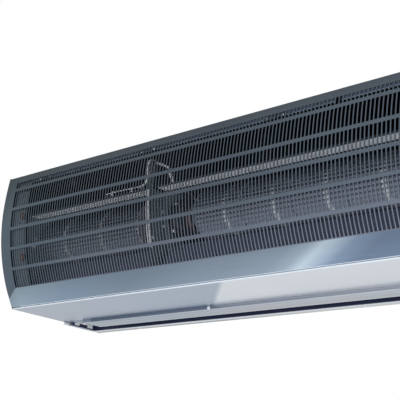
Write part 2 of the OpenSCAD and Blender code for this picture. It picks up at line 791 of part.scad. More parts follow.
module terminal_lid() {
  color([0.84, 0.85, 0.86]) placed() {
    box([terminal_x, -97.7, terminal_z], [terminal_x + terminal_length, -96.1, terminal_top]);
    for (x = [terminal_x + 12, terminal_x + terminal_length - 12])
      rod_y(x, -99.7, -97.7, (terminal_z + terminal_top) / 2, 3.5);
  }
}

block_height = 22;

// Terminal strip with a row of wire entries.
module terminal_block() {
  x0 = terminal_x + 60;
  z0 = terminal_z + 2 + 0.4 * (terminal_top - terminal_z - 4 - block_height);
  color([0.92, 0.92, 0.88]) placed() difference() {
    box([x0, -46, z0], [x0 + 84, back_y - sheet - 2.2, z0 + block_height]);
    for (i = [0 : 6]) {
      rod_y(x0 + 6 + i * 12, -47, -32, z0 + block_height / 2, 2.4);
      translate([x0 + 6 + i * 12, -24, z0 - 2]) cylinder(h = 8, r = 2);
    }
    for (i = [1 : 6])
      box([x0 + i * 12 - 0.5, -47, z0 - 1], [x0 + i * 12 + 0.5, -38, z0 + block_height + 1]);
  }
}

cable_r = 3.2;
box_end = terminal_x + terminal_length;
cable_z = terminal_z + 16;
clip_x = (box_end + divider_left_x) / 2 - 28;
clip_y = -213;
cable_points = [[box_end - 6, -60, cable_z], [box_end + 3, -60, cable_z],
  [box_end + 12, -62, cable_z], [box_end + 30, -90, cable_z + 1],
  [clip_x + 0.75, -170, cable_z + 2], [clip_x - 0.75, -250, cable_z],
  [divider_left_x - 86, -288, cable_z - 4], [divider_left_x - 66, -297, cable_z - 6],
  [divider_left_x - 50, -297, cable_z + 7], [divider_left_x - 51, -297, unit_height - 42],
  [divider_left_x - 53, -297, unit_height - 26], [divider_left_x - 44, -297, unit_height - 19],
  [divider_left_x - 20, -297, unit_height - 30], [divider_left_x + 20, -296, unit_height - 48],
  [divider_left_x + 31, -295, cable_z + 7], [divider_left_x + 35, -290, cable_z - 9],
  [divider_left_x + 45, -274, deck_z + 10], [divider_left_x + 58, -261, deck_z],
  [motor_x + 27, -254, deck_z - 10], [motor_x + 28, -252, deck_z - 17]];

function spline(p, i, t) =
  let (a = p[max(i - 1, 0)], b = p[i], c = p[i + 1], d = p[min(i + 2, len(p) - 1)])
  0.5 * (2 * b + (c - a) * t + (2 * a - 5 * b + 4 * c - d) * t * t
    + (3 * b - a - 3 * c + d) * t * t * t);

// Round cable swept through a list of points.
module swept(p, r, steps = 3, sides = 12) {
  q = concat([for (i = [0 : len(p) - 2], k = [0 : steps - 1]) spline(p, i, k / steps)],
    [p[len(p) - 1]]);
  n = len(q);
  rings = [for (i = [0 : n - 1])
    let (d = unit(q[min(i + 1, n - 1)] - q[max(i - 1, 0)]),
         u = unit(cross(d, abs(d[1]) > 0.9 ? [0, 0, 1] : [0, 1, 0])),
         v = cross(u, d))
    for (k = [0 : sides - 1]) q[i] + r * (cos(k * 360 / sides) * u + sin(k * 360 / sides) * v)];
  polyhedron(points = rings, convexity = 6, faces = concat(
    [[for (k = [0 : sides - 1]) k]],
    [for (i = [0 : n - 2], k = [0 : sides - 1])
      each [[i * sides + k, (i + 1) * sides + k, (i + 1) * sides + (k + 1) % sides],
        [i * sides + k, (i + 1) * sides + (k + 1) % sides, i * sides + (k + 1) % sides]]],
    [[for (k = [sides - 1 : -1 : 0]) (n - 1) * sides + k]]));
}

module inner_cable() {
  color([0.95, 0.95, 0.95]) placed() swept(cable_points, cable_r);
}

// Clip on a post that holds the cable above the ceiling sheet.
module cable_clip() {
  color([0.90, 0.90, 0.88]) placed() difference() {
    union() {
      rod_y(clip_x, clip_y - 5, clip_y + 5, cable_z + 1.8, cable_r + 2);
      box([clip_x - 3, clip_y - 5, deck_z + 1.5], [clip_x + 3, clip_y + 5, cable_z]);
      box([clip_x - 8, clip_y - 7, deck_z + 1.5], [clip_x + 8, clip_y + 7, deck_z + 3.5]);
    }
    rod_y(clip_x, clip_y - 6, clip_y + 6, cable_z + 1.8, cable_r + 0.5);
  }
}

// Supply cable gland through the top plate into the terminal box.
module cable_gland() {
  color([0.16, 0.16, 0.17]) placed() translate([gland_x, gland_y, unit_height]) difference() {
    union() {
      translate([0, 0, -20]) cylinder(h = 21, r = 8);
      translate([0, 0, -22]) cylinder(h = 5.7, r = 11, $fn = 6);
      translate([0, 0, 0.1]) cylinder(h = 5, r = 12, $fn = 6);
      translate([0, 0, 5]) cylinder(h = 8, r1 = 10.5, r2 = 9);
    }
    translate([0, 0, -23]) cylinder(h = 40, r = 5);
  }
}

// Rail screwed to the wall, with an upstand that the casing hooks over.
module wall_rail() {
  color([0.70, 0.72, 0.74]) placed() difference() {
    along_x(-half + 100, half - 100) union() {
      translate([-1.5, rail_height - 18]) square([1.5, 37]);
      translate([-5, rail_height + 17.5]) square([5, 1.5]);
      translate([-5, rail_height + 17.5]) square([1.5, 14.2]);
    }
    for (i = [-1.5 : 1 : 1.5]) rod_y(i * rail_hole_pitch, -6, 1, rail_height, rail_hole_r);
  }
}

// Hook strip on the back plate that hangs behind the rail's upstand.
module hanging_strip() {
  color([0.66, 0.68, 0.70]) placed() along_x(-half + 110, half - 110) union() {
    translate([back_y + 0.1, rail_height + 32]) square([1.4, 16]);
    translate([back_y + 0.1, rail_height + 32]) square([-back_y - 0.5, 1.4]);
    translate([-3, rail_height + 20]) square([1.8, 13]);
  }
}

// Bushes under the top plate for threaded hanging rods.
module suspension_bushes() {
  color([0.74, 0.75, 0.76]) placed() for (x = rod_x_spots, y = rod_y_spots)
    translate([x, y, unit_height - sheet - 14.1]) difference() {
      cylinder(h = 14, r = 8);
      translate([0, 0, -1]) cylinder(h = 16, r = 4.25);
    }
}

module end_screws() {
  color([0.85, 0.86, 0.88]) placed() for (s = [-1, 1], p = end_screw_spots) scale_x(s)
    translate([-half, p[0], p[1]]) rotate([0, 90, 0]) difference() {
      union() {
        cylinder(h = sheet, r1 = 4, r2 = 2);
        cylinder(h = 9, r = 2);
      }
      translate([0, 0, -0.1]) cylinder(h = 1, r = 1.4, $fn = 6);
    }
}

end_cap_left();
end_cap_right();
top_plate();
back_plate();
bottom_pan();
front_panel();
door_hinges();
hinge_pins();
door_buffers();
door_catches();
cheek_plates();
bearing_plates();
fan_deck_left();
fan_deck_right();
tongue_left();
tongue_right();
wheel_left();
wheel_right();
rotor_shaft();
hub_screws();
motor();
motor_winding();
motor_grommets();
motor_screws();
bearing_housings();
bearing_rubbers();
bearing_bushes();
bearing_screws();
inlet_rails();
edge_trim();
plate_screws();
capacitor();
capacitor_clip();
nozzle_frame();
deflector_vane();
vane_brackets();
bracket_screws();
vane_pins();
terminal_box();
terminal_lid();
terminal_block();
inner_cable();
cable_clip();
cable_gland();
wall_rail();
hanging_strip();
suspension_bushes();
end_screws();
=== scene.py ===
"""Looks of a wall-hung air curtain: satin stainless casing, dark slots, bright outlet parts."""

import json
import math

import bmesh
import bpy
from mathutils import Matrix, Vector


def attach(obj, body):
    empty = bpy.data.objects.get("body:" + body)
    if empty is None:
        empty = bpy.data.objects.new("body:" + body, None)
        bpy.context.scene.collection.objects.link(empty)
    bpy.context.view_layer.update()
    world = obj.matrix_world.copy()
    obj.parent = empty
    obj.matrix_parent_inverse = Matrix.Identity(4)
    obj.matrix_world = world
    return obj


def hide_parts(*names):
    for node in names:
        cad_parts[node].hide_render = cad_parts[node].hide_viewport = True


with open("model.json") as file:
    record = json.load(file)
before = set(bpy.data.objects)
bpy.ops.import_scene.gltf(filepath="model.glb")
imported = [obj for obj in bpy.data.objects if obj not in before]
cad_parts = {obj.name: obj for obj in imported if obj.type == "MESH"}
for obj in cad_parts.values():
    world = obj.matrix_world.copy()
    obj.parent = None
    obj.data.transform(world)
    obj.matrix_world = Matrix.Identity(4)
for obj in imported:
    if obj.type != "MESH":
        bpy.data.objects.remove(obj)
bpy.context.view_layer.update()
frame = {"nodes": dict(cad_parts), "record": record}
nodes = frame["nodes"]

# Sizes and places in metres, for the materials. Heights are above the underside, x runs along
# the unit, and y is 0 on the wall and negative in front of it.
RAIL = 0.268  # height of the frame's origin, on the wall rail
HEIGHT = 0.336  # height of the casing
HALF = 0.750  # half of its length
SHEET = 0.0015  # thickness of its sheets
BAND_TOP = 0.0461  # fold between the front's flat lower band and its slotted bulge
HEM_TOP = 0.0044  # the hem along the band's lower edge ends here
BEAD_BACK = -0.2885  # back of the pan's rounded front bead
PAN_INSIDE = 0.0047  # above this the pan's flanges face the inside
COLLAR_PAINTED_LIGHT = -0.133  # behind this, the pan's right half is painted brightest, as painted light beside the collar
SKIRT = -0.0008  # the end plates' skirt reaches below this
FOLD_LINE = (0.3135, 0.3153)  # bright line along the end plates' upper fold
TOP_FACE = HEIGHT - 0.0009  # above this is the top plate's outer face
FLANGE_FRONT = -0.3443  # front face of the top plate's flange
FLANGE_FOOT = 0.3164  # lower edge of that flange
RAIL_STRIP = (-0.327, -0.300)  # strip of the inlet rails, painted white, partly as painted reflection of the bright floor below, along y
SLEEVE_TOP = 0.2384  # the cable's dark sleeve at the motor ends here
DECK_TURN = 0.075  # below this the ceiling sheets run down behind the wheels
TONGUE_TURN = 0.052  # below this the tongue sheets lie in shade
COLLAR_FRONT = -0.1210  # front face of the outlet's collar
COLLAR_UNDER = -0.0059  # its lowest faces lie below this
COLLAR_END = 0.637  # its slate front ends here, to either side
OUTLET = (-0.1110, -0.0298)  # opening between the collar and its rear flange, along y
REAR_FLANGE = -0.02935  # front of the rear flange
REAR_LIP = -0.018  # and of the lip behind it
VANE_MIDDLE = -0.082  # middle of the vane, along y
BACK_FACE = -0.007  # outer face of the back plate
FIRST_DISC = -0.680  # where the wheels' evenly spaced discs start, along x
DISC_PITCH = 0.1418
RIM_LEAD = 0.006  # a disc's painted rim highlight starts this far to its left

# Camera, solved from the photograph: place, and the directions of its right, up and back.
CAMERA_PLACE = (1.7421435, -1.8959440, -0.7914434)
CAMERA_RIGHT = (0.68200751, 0.72457126, 0.09930859)
CAMERA_UP = (0.14289482, -0.26519247, 0.95354808)
CAMERA_BACK = (0.71724944, -0.63613636, -0.28440079)
CAMERA_LENS = 102.918972
SENSOR = 36.0


def make_camera():
    data = bpy.data.cameras.new("camera")
    data.lens = CAMERA_LENS
    data.sensor_width = SENSOR
    data.clip_end = 60.0
    camera = bpy.data.objects.new("camera", data)
    columns = (CAMERA_RIGHT, CAMERA_UP, CAMERA_BACK, CAMERA_PLACE)
    camera.matrix_world = Matrix([[column[i] for column in columns] for i in range(3)]
                                 + [[0, 0, 0, 1]])
    bpy.context.scene.collection.objects.link(camera)
    bpy.context.scene.camera = camera


# ---------------------------------------------------------------- materials

ALONG_X = (5.0, 900.0, 900.0)  # hairlines that run along x
AROUND_X = (900.0, 40.0, 40.0)  # turning marks around x
CLOUD_SCALE = (2.0, 7.0, 7.0)  # slow clouds, longer along x
HAIR_DEPTH = 0.00003
WHITE = (1.0, 1.0, 1.0)


def linear(r, g, b):
    """Linear colour of a shown colour that is given in 0 to 255."""
    return tuple((c / 255) ** 2.2 for c in (r, g, b))


def shade(colour, factor):
    return tuple(min(1.0, c * factor) for c in colour)


class Graph:
    """Small helper that adds nodes to one material and wires them."""

    def __init__(self, name, metal=0.0):
        self.material = bpy.data.materials.new(name)
        self.material.use_nodes = True
        self.tree = self.material.node_tree
        self.shader = self.tree.nodes["Principled BSDF"]
        self.shader.inputs["Metallic"].default_value = metal
        self.place = self.add("ShaderNodeTexCoord").outputs["Object"]

    def add(self, kind, **settings):
        node = self.tree.nodes.new(kind)
        for key, value in settings.items():
            setattr(node, key, value)
        return node

    def feed(self, value, socket):
        """Wires an output, or sets a plain number, into a socket."""
        if hasattr(value, "is_output"):
            self.tree.links.new(value, socket)
        else:
            socket.default_value = value

    def axes(self):
        """Place along the unit, toward the wall, and above the underside."""
        split = self.add("ShaderNodeSeparateXYZ")
        self.feed(self.place, split.inputs["Vector"])
        return (split.outputs["X"], split.outputs["Y"],
                self.math("ADD", split.outputs["Z"], RAIL))

    def stretched(self, scale):
        mapping = self.add("ShaderNodeMapping")
        mapping.inputs["Scale"].default_value = scale
        self.feed(self.place, mapping.inputs["Vector"])
        return mapping.outputs["Vector"]

    def noise(self, vector, scale=1.0, detail=4.0, rough=0.55):
        node = self.add("ShaderNodeTexNoise")
        node.inputs["Scale"].default_value = scale
        node.inputs["Detail"].default_value = detail
        node.inputs["Roughness"].default_value = rough
        self.feed(vector, node.inputs["Vector"])
        return node.outputs["Fac"]

    def ranged(self, value, low, high, new_low=0.0, new_high=1.0, soft=False):
        node = self.add("ShaderNodeMapRange")
        if soft:
            node.interpolation_type = "SMOOTHSTEP"
        for name, number in (("From Min", low), ("From Max", high), ("To Min", new_low),
                             ("To Max", new_high)):
            node.inputs[name].default_value = number
        self.feed(value, node.inputs["Value"])
        return node.outputs["Result"]

    def above(self, value, edge, blur, soft=False):
        """0 below an edge and 1 above it, with a change that reaches a blur to each side."""
        return self.ranged(value, edge - blur, edge + blur, soft=soft)

    def below(self, value, edge, blur):
        return self.ranged(value, edge - blur, edge + blur, 1.0, 0.0)

    def within(self, value, low, high, blur):
        return self.both(self.above(value, low, blur), self.below(value, high, blur))

    def both(self, a, b):
        return self.math("MULTIPLY", a, b)

    def spread(self, noise, low, high):
        """Spreads a noise, which mostly lies between 0.3 and 0.7, over a new range."""
        return self.ranged(noise, 0.3, 0.7, low, high)

    def math(self, kind, a, b=0.0, c=0.0):
        node = self.add("ShaderNodeMath", operation=kind)
        for socket, value in zip(node.inputs, (a, b, c)):
            self.feed(value, socket)
        return node.outputs["Value"]

    def ramp(self, value, stops):
        node = self.add("ShaderNodeValToRGB")
        ramp = node.color_ramp
        while len(ramp.elements) < len(stops):
            ramp.elements.new(0.5)
        for element, (at, colour) in zip(ramp.elements, stops):
            element.position = at
            element.color = (*colour, 1.0)
        self.feed(value, node.inputs["Fac"])
        return node.outputs["Color"]

    def mix(self, amount, a, b):
        """Colour a where the amount is 0, and b where it is 1."""
        node = self.add("ShaderNodeMix", data_type="RGBA")
        self.feed(amount, node.inputs["Factor"])
        for socket, value in zip(node.inputs[6:8], (a, b)):
            self.feed(value if hasattr(value, "is_output") else (*value, 1.0), socket)
        return node.outputs[2]

    def scaled(self, colour, amount):
        """Colour times a number that varies over the surface."""
        node = self.add("ShaderNodeVectorMath", operation="SCALE")
        self.feed(colour, node.inputs[0])
        self.feed(amount, node.inputs["Scale"])
        return node.outputs["Vector"]

    def brush(self, grain, lines, clouds=0.05):
        """Hairlines, and the factor by which they and slow clouds vary the colour."""
        hairs = self.noise(self.stretched(grain), detail=5.0, rough=0.75)
        slow = self.noise(self.stretched(CLOUD_SCALE), detail=3.0)
        return hairs, self.both(self.spread(hairs, 1.0 - lines, 1.0 + lines),
                                self.spread(slow, 1.0 - clouds, 1.0 + clouds))

    def metal_outside(self, mask, metal):
        """Full metal where the mask is 0, and as much as given where it is 1."""
        self.feed(self.ranged(mask, 0.0, 1.0, 1.0, metal), self.shader.inputs["Metallic"])

    def bump(self, height, strength, distance):
        node = self.add("ShaderNodeBump")
        node.inputs["Strength"].default_value = strength
        node.inputs["Distance"].default_value = distance
        self.feed(height, node.inputs["Height"])
        self.feed(node.outputs["Normal"], self.shader.inputs["Normal"])

    def finish(self, colour, rough):
        self.feed(colour, self.shader.inputs["Base Color"])
        self.feed(rough, self.shader.inputs["Roughness"])
        return self.material


def brushed(name, colour, rough, grain=ALONG_X):
    """Brushed metal with hairlines along the axis that has the small grain number."""
    g = Graph(name, metal=1.0)
    hairs, vary = g.brush(grain, 0.10)
    darkest, lightest = 0.7, 1.3
    base = g.ramp(g.ranged(vary, darkest, lightest),
                  [(0.0, shade(colour, darkest)), (1.0, shade(colour, lightest))])
    g.bump(hairs, 0.12, HAIR_DEPTH)
    return g.finish(base, g.spread(hairs, *rough))


def front_steel():
    """Satin front with painted reflections: dark above, lighter downward, cooler toward the
    left end, and a lighter lower band crossed by a slanted painted highlight; the hemmed lower
    edge gets a painted highlight.
    """
    g = Graph("front_steel", metal=1.0)
    x, _, true_height = g.axes()
    hairs, vary = g.brush(ALONG_X, 0.09)
    # the painted reflection on the band has its upper edge drop toward the casing's left end
    drop = g.math("MULTIPLY", g.ranged(x, -HALF, -0.709, 1.0, 0.0), 0.022)
    height = g.math("ADD", true_height, drop)
    # painted reflection: the slotted bulge is darker above and lighter downward, lighter toward
    # the right, and cooler and darker near the left end
    upper_reflection = g.ramp(g.ranged(height, 0.045, HEIGHT), [
        (0.0, linear(108, 115, 130)), (0.16, linear(100, 108, 121)),
        (0.335, linear(87, 96, 107)), (0.51, linear(80, 89, 99)),
        (0.87, linear(74, 83, 92)), (1.0, linear(66, 73, 80))])
    upper_reflection = g.scaled(upper_reflection, g.ranged(x, 0.0, 0.35, 1.0, 1.22))
    cool_left_reflection = g.ramp(g.ranged(height, 0.05, HEIGHT), [
        (0.0, linear(76, 90, 101)), (0.33, linear(78, 92, 103)),
        (0.6, linear(81, 94, 104)), (1.0, linear(46, 60, 67))])
    bulge = g.mix(g.ranged(x, -0.745, -0.30, 0.85, 0.0, soft=True), upper_reflection, cool_left_reflection)
    # painted reflection: a slanted painted highlight streak crosses the band, with darker blue
    # painted reflection to its right
    along = g.math("MULTIPLY_ADD", height, -2.2, x)
    band = g.ramp(g.ranged(along, -0.75, 0.60), [
        (0.0, linear(144, 163, 178)), (0.15, linear(129, 148, 168)),
        (0.33, linear(125, 141, 158)), (0.56, linear(135, 150, 166)),
        (0.66, linear(141, 157, 174)), (0.70, linear(156, 172, 188)),
        (0.73, linear(190, 207, 220)), (0.76, linear(166, 184, 203)),
        (0.79, linear(130, 150, 174)), (0.84, linear(112, 129, 152)),
        (1.0, linear(106, 129, 153))])
    band = g.scaled(band, g.ranged(height, 0.0, 0.045, 1.08, 0.80))
    base = g.mix(g.below(height, BAND_TOP, 0.0011), bulge, band)
    # painted highlight: the hemmed lower edge is painted near white and made less metallic
    hem_highlight = g.below(height, HEM_TOP, 0.0002)
    base = g.mix(hem_highlight, base, linear(208, 221, 234))
    g.metal_outside(hem_highlight, 0.2)
    g.bump(hairs, 0.10, HAIR_DEPTH)
    return g.finish(g.scaled(base, vary), g.spread(hairs, 0.30, 0.42))


def pan_steel():
    """Satin underside with painted reflections: a slanted soft edge parts a duller left from a
    brighter right; painted light makes it brightest by the collar, the rounded front edge gets
    a painted highlight and the inner flanges painted shade.
    """
    g = Graph("pan_steel", metal=1.0)
    x, y, height = g.axes()
    hairs, vary = g.brush(ALONG_X, 0.05, 0.025)
    # the painted reflection's edge runs 1.18 m to the left for each metre toward the wall
    slant = g.math("ADD", x, g.math("MULTIPLY_ADD", y, 1.18, 0.3165))
    right = g.above(slant, 0.0, 0.012, soft=True)
    dull = g.mix(g.ranged(x, -0.70, -0.25), linear(145, 157, 174), linear(139, 156, 175))
    base = g.mix(right, dull, linear(205, 211, 219))
    # painted light: next to the collar the right half is painted white
    collar_painted_light = g.above(y, COLLAR_PAINTED_LIGHT, 0.007, soft=True)
    base = g.mix(g.both(collar_painted_light, right), base, WHITE)
    # painted highlight: the rounded front edge is painted near white and made less metallic
    bead_highlight = g.below(y, BEAD_BACK, 0.0012)
    base = g.mix(bead_highlight, base, linear(222, 231, 242))
    # painted shade: the flanges that face the inside are painted dark
    base = g.mix(g.above(height, PAN_INSIDE, 0.0013), base, linear(70, 76, 84))
    g.metal_outside(bead_highlight, 0.2)
    g.bump(hairs, 0.08, HAIR_DEPTH)
    return g.finish(g.scaled(base, vary), g.spread(hairs, 0.26, 0.38))


def casing_steel():
    """Satin steel with duller end faces, inner faces painted dark as painted shade, and a white
    coated skirt edge.
    """
    g = Graph("casing_steel", metal=1.0)
    x, _, height = g.axes()
    hairs, vary = g.brush(ALONG_X, 0.09)
    base = g.mix(g.above(height, TOP_FACE, 0.0003), linear(104, 112, 122),
                 linear(128, 135, 144))
    base = g.mix(g.within(height, *FOLD_LINE, 0.0003), base, linear(150, 158, 168))
    reach = g.math("ABSOLUTE", x)
    inner = HALF - SHEET
    # painted shade: the end plates' inner faces are painted dark
    inner_face_shade = g.within(reach, inner - 0.00045, inner + 0.00045, 0.00015)
    base = g.mix(inner_face_shade, base, linear(46, 52, 62))
    end_face = g.above(reach, HALF - 0.00025, 0.00015)
    base = g.mix(end_face, base, linear(112, 118, 126))
    skirt = g.below(height, SKIRT, 0.0004)
    base = g.mix(skirt, base, linear(250, 252, 255))
    g.metal_outside(g.math("MAXIMUM", skirt, end_face), 0.1)
    g.bump(hairs, 0.12, HAIR_DEPTH)
    rough = g.math("MULTIPLY_ADD", end_face, 0.25, g.spread(hairs, 0.30, 0.45))
    return g.finish(g.scaled(base, vary), rough)


def rail_sheet():
    """Rails: a white strip, partly a painted reflection of the bright floor below, between two
    dull bent edges.
    """
    g = Graph("rail_sheet")
    _, y, _ = g.axes()
    skin = g.noise(g.place, scale=350.0, detail=3.0)
    # the strip's white is partly painted reflection of the bright floor below
    base = g.mix(g.within(y, *RAIL_STRIP, 0.0005), linear(52, 58, 68), linear(246, 248, 253))
    base = g.scaled(base, g.spread(g.noise(g.place, scale=14.0), 0.94, 1.0))
    g.bump(skin, 0.15, 0.0001)
    return g.finish(base, g.spread(skin, 0.34, 0.48))


def top_sheet():
    """Top plate: satin outside, the inner side painted dark as painted shade, and in front a
    duller bluish flange lightened as painted light, with a painted highlight along its lower
    edge.
    """
    g = Graph("top_sheet", metal=1.0)
    _, y, height = g.axes()
    hairs, vary = g.brush(ALONG_X, 0.09)
    outside = g.above(height, TOP_FACE, 0.0003)
    flange = g.both(g.below(y, FLANGE_FRONT, 0.0003), g.below(height, TOP_FACE, 0.0003))
    foot = g.below(height, FLANGE_FOOT, 0.0004)
    # painted shade: the inner side is painted dark; painted light: the flange is lighter, and
    # brighter still along its lower edge as a painted highlight
    base = g.mix(outside, linear(70, 78, 88), linear(128, 135, 144))
    base = g.mix(flange, base, g.mix(foot, linear(92, 102, 124), linear(140, 152, 176)))
    g.metal_outside(flange, 0.15)
    g.bump(hairs, 0.12, HAIR_DEPTH)
    return g.finish(g.scaled(base, vary), g.spread(hairs, 0.30, 0.45))


def sleeved_cable():
    """White cable with a dark sleeve where it enters the motor."""
    g = Graph("sleeved_cable")
    _, _, height = g.axes()
    skin = g.noise(g.place, scale=900.0, detail=3.0)
    sleeve = g.below(height, SLEEVE_TOP, 0.0004)
    base = g.mix(sleeve, linear(240, 241, 244), linear(46, 46, 50))
    base = g.scaled(base, g.spread(g.noise(g.place, scale=30.0), 0.95, 1.0))
    g.bump(skin, 0.15, 0.0001)
    return g.finish(base, g.spread(skin, 0.34, 0.48))


def nozzle_steel():
    """Collar with painted reflections: a front from slate to lighter toward the right, a paler
    underside, navy painted shade in the outlet, and a bright rear flange and lip of painted
    light.
    """
    g = Graph("nozzle_steel", metal=1.0)
    x, y, height = g.axes()
    hairs, vary = g.brush(ALONG_X, 0.08)
    # painted reflection: the front and underside grow lighter toward the right
    right = g.ranged(x, -0.55, 0.30)
    front = g.mix(right, linear(124, 137, 156), linear(158, 164, 177))
    under = g.mix(right, linear(144, 157, 174), linear(178, 186, 196))
    base = g.mix(g.above(y, COLLAR_FRONT, 0.0002), front, under)
    # painted light: the rear flange is painted near white and its lip grows lighter toward the
    # right
    lip = g.mix(g.ranged(x, -0.25, 0.10), linear(140, 145, 152), linear(188, 192, 193))
    rear = g.mix(g.above(y, REAR_LIP, 0.001), linear(206, 212, 222), lip)
    base = g.mix(g.above(y, REAR_FLANGE, 0.00015), base, rear)
    # painted shade: the opening of the outlet is painted navy
    outlet_shade = g.both(g.above(height, COLLAR_UNDER, 0.0005), g.within(y, *OUTLET, 0.0002))
    base = g.mix(outlet_shade, base, linear(50, 57, 84))
    end = g.above(g.math("ABSOLUTE", x), COLLAR_END, 0.001)
    ahead = g.below(y, OUTLET[0] - 0.0005, 0.0005)
    base = g.mix(g.both(end, ahead), base, linear(164, 176, 190))
    g.metal_outside(outlet_shade, 0.15)
    g.bump(hairs, 0.1, HAIR_DEPTH)
    return g.finish(g.scaled(base, vary), g.spread(hairs, 0.28, 0.42))


def vane_sheet():
    """Vane: bright sheet, duller toward the left and along its middle."""
    g = Graph("vane_sheet", metal=1.0)
    x, y, _ = g.axes()
    hairs, vary = g.brush(ALONG_X, 0.10)
    base = g.ramp(g.ranged(x, -0.70, 0.50), [
        (0.0, linear(154, 167, 182)), (0.30, linear(150, 163, 178)),
        (0.48, linear(166, 172, 182)), (1.0, linear(176, 183, 192))])
    off_middle = g.math("ABSOLUTE", g.math("SUBTRACT", y, VANE_MIDDLE))
    base = g.scaled(g.scaled(base, vary),
                    g.ranged(off_middle, 0.006, 0.016, 0.84, 1.0, soft=True))
    g.bump(hairs, 0.12, HAIR_DEPTH)
    return g.finish(base, g.spread(hairs, 0.26, 0.40))


def wheel_aluminium():
    """Pressed aluminium wheels: dull blades, darker toward the left, with painted highlights on
    the disc rims.
    """
    g = Graph("wheel_aluminium", metal=0.55)
    x, _, _ = g.axes()
    hairs, vary = g.brush(ALONG_X, 0.14, 0.10)
    along = g.math("SUBTRACT", x, FIRST_DISC - RIM_LEAD)
    bay = g.math("FRACT", g.math("DIVIDE", along, DISC_PITCH))
    # painted highlight: a bright stripe on each disc's rim
    rim_highlight = g.below(bay, 0.080, 0.005)
    base = g.scaled(g.mix(rim_highlight, linear(130, 136, 152), linear(196, 200, 209)), vary)
    base = g.scaled(base, g.ranged(x, -0.26, -0.10, 0.62, 1.0))
    g.bump(hairs, 0.15, HAIR_DEPTH)
    return g.finish(base, g.spread(hairs, 0.30, 0.46))


def plain(name, colour, rough=0.5, metal=0.0, scale=350.0, spread=0.05, lift=0.15,
          distance=0.0001):
    """Moulded, cast or coated surface with a fine skin and slow colour clouds."""
    g = Graph(name, metal=metal)
    skin = g.noise(g.place, scale=scale, detail=3.0)
    clouds = g.noise(g.place, scale=14.0)
    base = g.ramp(clouds, [(0.3, shade(colour, 1.0 - spread)),
                           (0.7, shade(colour, 1.0 + spread))])
    g.bump(skin, lift, distance)
    return g.finish(base, g.spread(skin, rough - 0.06, rough + 0.08))


def zinc(name, colour, rough=(0.5, 0.65), size=90.0, low=None, turn=0.0, outside=None):
    """Zinc-coated sheet: flat crystals of slightly different greys.

    It may have another tone below a height, and another one on the back plate's outer face.
    """
    g = Graph(name, metal=0.3)
    cells = g.add("ShaderNodeTexVoronoi")
    cells.inputs["Scale"].default_value = size
    g.feed(g.place, cells.inputs["Vector"])
    crystal = cells.outputs["Distance"]
    base = g.ramp(crystal, [(0.0, shade(colour, 0.85)), (0.5, colour),
                            (1.0, shade(colour, 1.15))])
    if outside is not None:
        back = g.above(g.axes()[1], BACK_FACE - 0.0004, 0.0002)
        base = g.mix(back, base, g.scaled(outside, g.ranged(crystal, 0.0, 1.0, 0.86, 1.14)))
    if low is not None:
        base = g.mix(g.below(g.axes()[2], turn, 0.004), base, low)
    g.bump(g.noise(g.place, scale=240.0), 0.1, 0.00005)
    return g.finish(base, g.ranged(crystal, 0.0, 0.8, *rough))


# Finish of each material slot of the record.
FINISHES = {
    "front_steel": front_steel(),
    "casing_steel": casing_steel(),
    "pan_steel": pan_steel(),
    "galvanised": zinc("galvanised", linear(92, 100, 108), rough=(0.38, 0.52)),
    "bright_sheet": brushed("bright_sheet", linear(205, 209, 216), rough=(0.30, 0.42)),
    "wheel_aluminium": wheel_aluminium(),
    "shaft_steel": brushed("shaft_steel", linear(160, 163, 168), rough=(0.15, 0.25),
                           grain=AROUND_X),
    "screw_zinc": plain("screw_zinc", linear(222, 226, 232), rough=0.3, metal=0.4, lift=0.05),
    "motor_paint": plain("motor_paint", linear(40, 43, 48), rough=0.45, scale=500.0),
    "copper_wire": plain("copper_wire", linear(112, 86, 84), rough=0.4, scale=900.0, metal=0.6),
    "brown_rubber": plain("brown_rubber", linear(74, 44, 42), rough=0.6, scale=600.0),
    "bronze": plain("bronze", linear(176, 132, 80), rough=0.35, metal=1.0),
    "white_metal": plain("white_metal", linear(228, 231, 234), rough=0.38, spread=0.02),
    "box_paint": plain("box_paint", linear(120, 125, 130), rough=0.45, spread=0.03),
    "white_plastic": plain("white_plastic", linear(240, 242, 244), rough=0.42, spread=0.03),
    "cable_white": plain("cable_white", linear(236, 236, 236), rough=0.40, scale=900.0,
                         spread=0.02),
    "black_plastic": plain("black_plastic", linear(28, 28, 30), rough=0.45, scale=700.0),
}

# Finishes of single nodes and pieces.
# painted shade: the back plate's inner face and the ceiling and tongue sheets are painted dark
# for the shade inside the casing; the ceiling sheets turn bluish low down behind the wheels,
# and the tongue sheets darkest low down
PAINTED_SHADE_ZINC = linear(34, 39, 52)
BACK_SHEET = zinc("back_sheet", PAINTED_SHADE_ZINC, outside=linear(150, 156, 162))
DECK = zinc("deck_sheet", PAINTED_SHADE_ZINC, low=linear(46, 52, 80), turn=DECK_TURN)
TONGUE = zinc("tongue_sheet", linear(66, 73, 90), low=linear(16, 18, 28), turn=TONGUE_TURN)
GREY_PLATE = zinc("grey_plate", linear(98, 108, 114), rough=(0.42, 0.55), size=60.0)
SLEEVED = sleeved_cable()
DARK_RUBBER = plain("dark_rubber", linear(64, 50, 48), rough=0.6, scale=600.0)
DULL_ZINC = plain("dull_zinc", linear(74, 80, 88), rough=0.45, metal=0.4, lift=0.05)
VANE_SHEET = vane_sheet()
FOAM = plain("foam", linear(66, 68, 72), rough=0.85, scale=1400.0, spread=0.10, lift=0.5,
             distance=0.0004)
